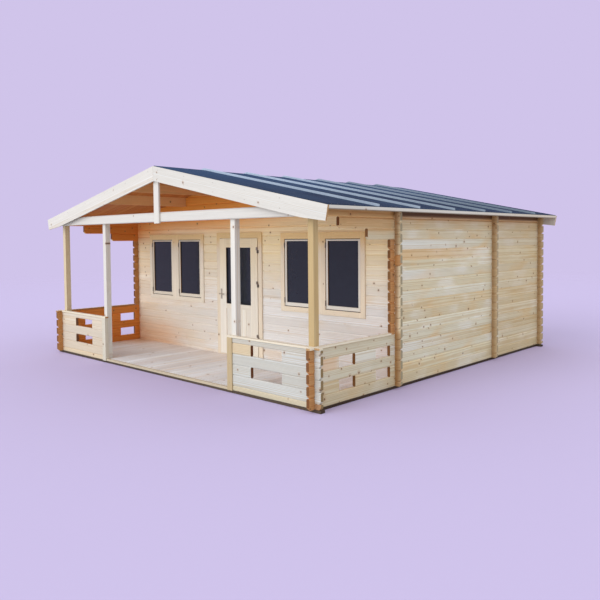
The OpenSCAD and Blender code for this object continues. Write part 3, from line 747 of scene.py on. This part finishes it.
deck_pine = pine("deck_pine", "Y flat", FLOOR_CELLS, DECK_TONES, 17.0, rings=0.45, drift=0.2,
                 tints=[("f0e2d8", behind(0.7, 1.5, 0.5)),
                        # d8a878 is painted warm shade in the back left corner of the porch.
                        ("d8a878", both(toward_x(-2.1, -2.8, 0.75), behind(0.8, 1.4, 1.0)))])
floor_pine = pine("floor_pine", "Y flat", FLOOR_CELLS, ["e4cba2", "dfc08f", "e8d4b2"], 18.0)
# The orange of the purlins and the ceiling boards is painted warm shade under the roof, over the pine's own
# colour.
purlin_pine = pine("purlin_pine", "Y", [rows(-PURLIN_PITCH * 2.5, PURLIN_PITCH), WHOLE, one(2.8)],
                   ["f0c492", "eabb86"], 19.0, end="c08a50")
ceiling_pine = pine("ceiling_pine", "X flat",
                    [two(-5.0, 5.0), rows(ROOF_Y0 + RAIL_Y, (ROOF_Y1 - ROOF_Y0) / ROOF_PLANKS),
                     one(RIDGE_Z + LOG_Z)], AMBER_SHADE_TONES, 20.0, slope=SLOPE)
bearer_timber = pine("bearer_timber", "X", [two(-5.0, 5.0), rows(-3.2, 0.5), one(0.02)],
                     ["4d4238", "574a3d", "463c34"], 21.0, end="4a3c30", knots=0.3)


def felt(name, eave, ridge, light, salt, rear=0.0):
    """Mineral roofing felt: coarse grit, soft patches and faint streaks, duller to the eaves, with painted shade
    to the rear.
    """
    material, t = new_material(name)
    place = t.vector("ADD", t.place(), (salt, salt, 0.0))
    _, y, z = t.split(place)
    grit = t.noise(place, 420.0, 3.0, 0.7)
    patch = t.noise(place, 1.7, 3.0, 0.55)
    streak = t.noise(t.vector("MULTIPLY", place, (0.5, 9.0, 0.5)), 1.0, 3.0, 0.6)
    colour = t.mix(t.step(z, 2.4, 2.9), tone(eave), tone(ridge))
    for share in (t.step(patch, 0.3, 0.7, 0.0, 0.45), t.step(streak, 0.4, 0.75, 0.0, 0.35),
                  t.step(grit, 0.55, 0.75, 0.0, 0.5)):
        colour = t.mix(share, colour, tone(light))
    # Painted shade: towards the back the colour darkens to slate.
    if rear:
        colour = t.mix(t.step(y, -1.2 + salt, 1.4 + salt, 0.0, rear), colour, tone(SLATE))
    t.shade({"Base Color": colour, "Roughness": t.step(grit, 0.3, 0.7, 0.92, 0.7), "Specular IOR Level": 0.12},
            grit, 0.5, 0.003)
    return material


def pane_glass(name):
    """Dark tinted glass with a trace of dust."""
    material, t = new_material(name)
    place = t.place()
    dust = t.noise(place, 9.0, 4.0, 0.6)
    # Painted reflection: the glass is lighter to the right.
    base = t.mix(t.step(t.split(place)[0], -1.0, 1.5), tone("1c222a"), tone("272d37"))
    colour = t.mix(t.step(dust, 0.35, 0.8, 0.0, 0.3), base, tone("2d3541"))
    t.shade({"Base Color": colour, "Roughness": t.step(dust, 0.3, 0.8, 0.05, 0.16), "IOR": 1.45,
             "Transmission Weight": 0.2, "Specular IOR Level": 0.35})
    return material


def satin_steel(name, code, metal):
    """Brushed steel with rubbed and dull patches, bare or under a thin lacquer."""
    material, t = new_material(name)
    place = t.place()
    brush = t.noise(t.vector("MULTIPLY", place, (900.0, 900.0, 30.0)), 1.0, 2.0, 0.5)
    dull = t.noise(place, 45.0, 3.0, 0.6)
    colour = t.mix(t.step(dull, 0.35, 0.7), tone(code), t.mix(1.0, tone(code), tone("b0a89c"), "MULTIPLY"))
    rough = t.sum("MULTIPLY_ADD", brush, 0.18, t.step(dull, 0.3, 0.7, 0.24, 0.42))
    t.shade({"Base Color": colour, "Roughness": rough, "Metallic": metal}, brush, 0.1, 0.0004)
    return material


def gasket_rubber(name):
    material, t = new_material(name)
    grain = t.noise(t.place(), 300.0, 2.0, 0.6)
    colour = t.mix(grain, tone("2a2826"), tone("3b3835"))
    t.shade({"Base Color": colour, "Roughness": t.step(grain, 0.2, 0.8, 0.6, 0.85)})
    return material


covering_felt = felt("covering_felt", "1a2c42", "224264", "2e4a66", 0.0)
rib_felt = felt("rib_felt", "9aa8b8", "bccce2", "b4c2d4", 7.0, rear=0.55)
glass = pane_glass("pane_glass")
handle_steel = satin_steel("handle_steel", "d2cabc", 0.35)
hinge_steel = satin_steel("hinge_steel", "9a9284", 1.0)
gasket = gasket_rubber("gasket_rubber")


def coat(piece, material):
    piece.data.materials.clear()
    piece.data.materials.append(material)


COATS = [
    (bearer_timber, "end_bearers side_bearers cross_bearers"),
    (floor_pine, "cabin_floor"), (deck_pine, "porch_deck"), (sill_pine, "porch_sill"),
    (side_pine, "left_logs_odd left_logs_even right_logs_odd right_logs_even"),
    (front_pine, "front_logs_odd front_logs_even"),
    (back_pine, "partition_logs_odd partition_logs_even rear_logs_odd rear_logs_even"),
    (rail_pine, "rail_logs_odd rail_logs_even"), (cap_pine, "rail_caps"), (stile_pine, "rail_stiles"),
    (post_pine, "porch_posts"), (beam_pine, "tie_beam"), (king_pine, "king_post"),
    (purlin_pine, "ridge_purlin side_purlins"), (ceiling_pine, "left_roof_boards right_roof_boards"),
    (covering_felt, "left_covering right_covering"), (rib_felt, "left_ribs right_ribs"),
    (barge_pine, "front_barge_boards rear_barge_boards"), (eave_pine, "eave_boards"),
    (window_pine, "window_frames"), (sash_pine, "window_sashes"), (glass, "window_panes door_pane"),
    (door_frame_pine, "door_frame"), (leaf_pine, "door_leaf"), (handle_steel, "door_handle"),
    (hinge_steel, "frame_hinges leaf_hinges"),
]
for material, nodes in COATS:
    for node in nodes.split():
        coat(cad[node], material)


def fitted(piece, material, body, slot, *stands_for):
    """Finish a new piece: its material, its body and the nodes it stands for. The slot is not used."""
    coat(piece, material)
    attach(piece, body)
    if stands_for:
        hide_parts(*stands_for)


# Boards of the deck, floor and roof

def floor_row(name, half_x, y0, y1, count):
    return plank_row(name, spot(-half_x, y0, 0), spot(half_x, y1, FLOOR_T), count, 1, PLANK_GROOVE, True)


deck = floor_row("deck_planks", INNER_X, HALF_LOG, FRONT_Y - HALF_LOG, PLANKS)
fitted(deck, deck_pine, "cabin", "deck_boards", "porch_deck")

rooms = [floor_row("room_planks", INNER_X, FRONT_Y + HALF_LOG, PARTITION_Y - HALF_LOG, PLANKS),
         floor_row("rear_planks", INNER_X, PARTITION_Y + HALF_LOG, REAR_Y - HALF_LOG, PLANKS),
         floor_row("doorway_planks", DOORWAY_X, PARTITION_Y - HALF_LOG, PARTITION_Y + HALF_LOG, DOORWAY_PLANKS)]
fitted(joined("room_planks", rooms), floor_pine, "cabin", "floor_boards", "cabin_floor")

for side, name in ((-1, "left"), (1, "right")):
    low_x, high_x = sorted((0.0, side * BOARD_END_X))
    planks = plank_row(name + "_roof_planks", spot(low_x, ROOF_Y0, RIDGE_Z - BOARD_RISE),
                       spot(high_x, ROOF_Y1, RIDGE_Z), ROOF_PLANKS, 0, ROOF_GROOVE, False)
    shift(planks, lambda c: abs(c[0].x) > 1.0, (0, 0, -SLOPE * BOARD_END_X))
    fitted(planks, ceiling_pine, "cabin", "roof_boards", name + "_roof_boards")

nails = nail_rows("deck_nails", spot(-INNER_X + 0.03, 0.06, FLOOR_T), DECK_NAIL,
                  [(2, (0.062, 0, 0)), (PLANKS, (PLANK, 0, 0)), (4, (0, 0.47, 0))])
fitted(nails, hinge_steel, "cabin", "hinge_steel")

# Beads, seals and boards of the windows and the door

VOID_ZS = SILL_Z + 0.093, HEAD_Z - 0.083
HOLE_ZS = SILL_Z + 0.033, HEAD_Z - 0.053
GLASS_ZS = GLASS_Z0, GLASS_Z1
BEAD_W, PANE_SEAL_W, SASH_SEAL_W, DOOR_SEAL_W = 0.012, 0.004, 0.0095, 0.003
BEAD_Y, PANE_SEAL_Y, SASH_SEAL_Y, DOOR_BEAD_Y = 1.5335, 1.509, 1.507, 1.5175
PLAY = 0.0002


def ring_at(name, middle, half, zs, y, width, depth):
    lo, hi = spot(middle - half, y, zs[0]), spot(middle + half, y, zs[1])
    return bead_ring(name, lo.x, hi.x, lo.z, hi.z, lo.y, width, depth)


beads, seals = [], []
for middle in SASH_MIDDLES:
    beads.append(ring_at("bead", middle, SASH_VOID, VOID_ZS, BEAD_Y, BEAD_W, -0.0115))
    seals.append(ring_at("seal", middle, SASH_VOID, VOID_ZS, PANE_SEAL_Y, PANE_SEAL_W, 0.005))
    seals.append(ring_at("seal", middle, SASH_HOLE - PLAY, (HOLE_ZS[0] + PLAY, HOLE_ZS[1] - PLAY), SASH_SEAL_Y,
                         SASH_SEAL_W, 0.012))
fitted(joined("window_beads", beads), sash_pine, "cabin", "joinery_pine")
fitted(joined("window_seals", seals), gasket, "cabin", None)

door_bead = ring_at("door_bead", DOOR_X, GLASS_X, GLASS_ZS, DOOR_BEAD_Y, BEAD_W, -0.0075)
fitted(door_bead, leaf_pine, "door", "joinery_pine")
door_seal = ring_at("door_seal", DOOR_X, GLASS_X, GLASS_ZS, LEAF_Y0 + 0.007, DOOR_SEAL_W, 0.017)
fitted(door_seal, gasket, "door", None)


def panel_boards(name, y0, y1, face):
    """Upright boards in the lower panel of the door, grooved on one face."""
    lo, hi = spot(DOOR_X - GLASS_X, y0, PANEL_Z0), spot(DOOR_X + GLASS_X, y1, PANEL_Z1)
    board = block(name, lo, Vector((lo.x + PANEL_PLANK - SEAM, hi.y, hi.z)))
    ease(board, lambda c: along(2, c) and near(c[0].y, face + RAIL_Y), PLANK_GROOVE)
    return repeat(board, PANEL_PLANKS, (PANEL_PLANK, 0, 0))


outer_face, inner_face = LEAF_Y0 + 0.004, LEAF_Y1 - 0.004
boards = joined("panel_boards", [panel_boards("panel_boards", outer_face, LEAF_Y0 + 0.01, outer_face),
                                 panel_boards("inner_boards", LEAF_Y1 - 0.01, inner_face, inner_face)])
fitted(boards, panel_pine, "door", "joinery_pine")

# Small fixings

TO_FRONT, TO_BACK = (math.pi / 2, 0, 0), (-math.pi / 2, 0, 0)
BARGE_SCREW_X, BARGE_SCREW_STEP = 0.12, 0.6
CASING_Y, CASING_X = 1.488, 0.770
DOOR_CASING_Y, DOOR_CASING_X = 1.486, 0.512
FELT_EDGE_X, FELT_RISE = 3.205, 0.008
STILE_X, STILE_FACE_Y = 1.534, -0.036
CAP_TOP, SIDE_CAP_X = RAIL_TOP + 0.023, 2.962
HINGE_X, HINGE_ZS, HINGE_T = 0.429, (0.330, 1.160, 1.690), 0.003
HANDLE_X, HANDLE_Z, HANDLE_Y = -0.440, 1.020, 1.472
BARREL_R, BARREL_H = 0.006, 0.075

screws = []
for side in (-1, 1):
    for y, turn in ((ROOF_Y0 - BARGE_T, TO_FRONT), (ROOF_Y1 + BARGE_T, TO_BACK)):
        first = spot(side * BARGE_SCREW_X, y, RIDGE_Z - BARGE_SCREW_X * SLOPE - 0.045)
        screws.append(nail_rows("screws", first, BARGE_SCREW, [
            (2, (0, 0, -0.115)), (5, (side * BARGE_SCREW_STEP, 0, -BARGE_SCREW_STEP * SLOPE))], turn))
fitted(joined("barge_screws", screws), hinge_steel, "cabin", "hinge_steel")

nails = []
for middle in (-WINDOW_X, WINDOW_X):
    nails.append(nail_rows("nails", spot(middle - CASING_X, CASING_Y, SILL_Z - 0.02), CASING_NAIL,
                           [(7, (CASING_X / 3, 0, 0)), (2, (0, 0, HEAD_Z - SILL_Z + 0.04))], TO_FRONT))
    nails.append(nail_rows("nails", spot(middle - CASING_X, CASING_Y, SILL_Z + 0.26), CASING_NAIL,
                           [(3, (0, 0, 0.28)), (2, (2 * CASING_X, 0, 0))], TO_FRONT))
nails.append(nail_rows("nails", spot(DOOR_X - DOOR_CASING_X, DOOR_CASING_Y, 0.12), CASING_NAIL,
                       [(7, (0, 0, 0.3)), (2, (2 * DOOR_CASING_X, 0, 0))], TO_FRONT))
fitted(joined("casing_nails", nails), hinge_steel, "cabin", "hinge_steel")

nails = [nail_rows("nails", spot(side * FELT_EDGE_X, 0.02, RIDGE_Z + FELT_RISE - FELT_EDGE_X * SLOPE), FELT_NAIL,
                   [(60, (0, 0.1, 0))]) for side in (-1, 1)]
fitted(joined("covering_nails", nails), hinge_steel, "cabin", "hinge_steel")

screws = []
for side in (-1, 1):
    screws.append(nail_rows("screws", spot(side * STILE_X, STILE_FACE_Y, 0.1), RAIL_SCREW,
                            [(3, (0, 0, 0.24))], TO_FRONT))
    screws.append(nail_rows("screws", spot(side * 1.72, -0.007, CAP_TOP), RAIL_SCREW, [(4, (side * 0.38, 0, 0))]))
    screws.append(nail_rows("screws", spot(side * SIDE_CAP_X, 0.2, CAP_TOP), RAIL_SCREW, [(4, (0, 0.33, 0))]))
fitted(joined("rail_screws", screws), hinge_steel, "cabin", "hinge_steel")


def hinge_screws(x, face_y, rise):
    """Two screws a hinge, from a height above its lower end."""
    return [nail_rows("screws", spot(x, face_y - HINGE_T, z + rise), PLATE_SCREW, [(2, (0, 0, 0.021))], TO_FRONT)
            for z in HINGE_ZS]


screws = hinge_screws(HINGE_X + 0.015, DOOR_CASING_Y, 0.012)
fitted(joined("frame_hinge_screws", screws), hinge_steel, "cabin", "hinge_steel")

screws = hinge_screws(HINGE_X - 0.02, LEAF_Y0, 0.058)
screws.append(nail_rows("screws", spot(HANDLE_X, HANDLE_Y, HANDLE_Z - 0.07), PLATE_SCREW,
                        [(2, (0, 0, 0.14))], TO_FRONT))
fitted(joined("leaf_screws", screws), hinge_steel, "door", "hinge_steel")

key_slot = block("keyhole", spot(HANDLE_X - 0.002, HANDLE_Y - 0.0006, HANDLE_Z - 0.052),
                 spot(HANDLE_X + 0.002, HANDLE_Y + 0.001, HANDLE_Z - 0.040))
key_eye = nail_rows("eye", spot(HANDLE_X, HANDLE_Y, HANDLE_Z - 0.038), KEY_EYE, [], TO_FRONT)
fitted(joined("keyhole", [key_slot, key_eye]), gasket, "door", None)


def knuckle(name, at, radius, length):
    """An upright hinge barrel with eased ends."""
    put_down()
    bpy.ops.mesh.primitive_cylinder_add(vertices=12, radius=radius, depth=length, location=at)
    barrel = settle(name)
    ease(barrel, lambda c: near(c[0].z, c[1].z), radius * 0.3, 2)
    return barrel


barrels = [knuckle("barrel", spot(middle - SASH_HOLE + 0.005, CASING_Y - 0.001, z), BARREL_R, BARREL_H)
           for middle in SASH_MIDDLES for z in (HOLE_ZS[0] + 0.09, HOLE_ZS[1] - 0.09)]
fitted(joined("sash_hinges", barrels), hinge_steel, "cabin", "hinge_steel")

# Camera, light and floor

scene = bpy.context.scene
scene.view_settings.view_transform = "Standard"

LENS_AT = spot(7.7853, -5.2812, 1.9137)
LENS_TURN, LENS_TILT, LENS_ROLL = 0.7521, -0.0408, -0.0083
ahead = Vector((-math.sin(LENS_TURN) * math.cos(LENS_TILT), math.cos(LENS_TURN) * math.cos(LENS_TILT),
                math.sin(LENS_TILT)))
level_right = Vector((math.cos(LENS_TURN), math.sin(LENS_TURN), 0))
level_up = level_right.cross(ahead)
right = level_right * math.cos(LENS_ROLL) + level_up * math.sin(LENS_ROLL)
up = level_up * math.cos(LENS_ROLL) - level_right * math.sin(LENS_ROLL)
camera = bpy.data.objects.new("camera", bpy.data.cameras.new("camera"))
scene.collection.objects.link(camera)
camera.matrix_world = Matrix.Translation(LENS_AT) @ Matrix((right, up, -ahead)).transposed().to_4x4()
camera.data.sensor_width = 36
camera.data.lens = 38.77
camera.data.shift_x = -0.0105
camera.data.shift_y = -0.059
camera.data.clip_end = 500
scene.camera = camera

BACKDROP = "d0c4ea"
FLOOR = "c5b9dd"
BOUNCE = "d0d0d2"
FADE_FROM, FADE_TO = 9.0, 30.0

# The floor fades into the backdrop and bounces a more neutral light than it shows.
put_down()
bpy.ops.mesh.primitive_plane_add(size=240, location=(0, 0, -0.002))
floor = settle("floor")
floor_paint, t = new_material("floor_paint")
matt = t.node("ShaderNodeBsdfDiffuse", {"Color": t.mix(t.seen(), tone(BOUNCE), tone(FLOOR))})
clear = t.node("ShaderNodeBsdfTransparent")
fade = t.step(t.vector("LENGTH", t.place()), FADE_FROM, FADE_TO)
faded = t.node("ShaderNodeMixShader", {0: fade, 1: matt.outputs[0], 2: clear.outputs[0]})
t.node("ShaderNodeOutputMaterial", {"Surface": faded.outputs[0]})
coat(floor, floor_paint)

world = bpy.data.worlds.new("studio")
world.use_nodes = True
scene.world = world
t = Tree(world.node_tree)
sky = t.node("ShaderNodeBackground", {"Color": (0.97, 0.985, 1.0, 1.0), "Strength": 1.0})
plain = t.node("ShaderNodeBackground", {"Color": tone(BACKDROP), "Strength": 1.0})
studio = t.node("ShaderNodeMixShader", {0: t.seen(), 1: sky.outputs[0], 2: plain.outputs[0]})
t.node("ShaderNodeOutputWorld", {"Surface": studio.outputs[0]})


def sun(name, towards, strength, spread):
    lamp = bpy.data.lights.new(name, "SUN")
    lamp.energy = strength
    lamp.angle = math.radians(spread)
    holder = bpy.data.objects.new(name, lamp)
    scene.collection.objects.link(holder)
    holder.rotation_mode = "QUATERNION"
    holder.rotation_quaternion = Vector(towards).to_track_quat("-Z", "Y")


sun("front_softbox", (0.25, 0.95, -0.23), 0.72, 40)
sun("high_softbox", (0.1, 0.75, -0.6), 0.64, 40)
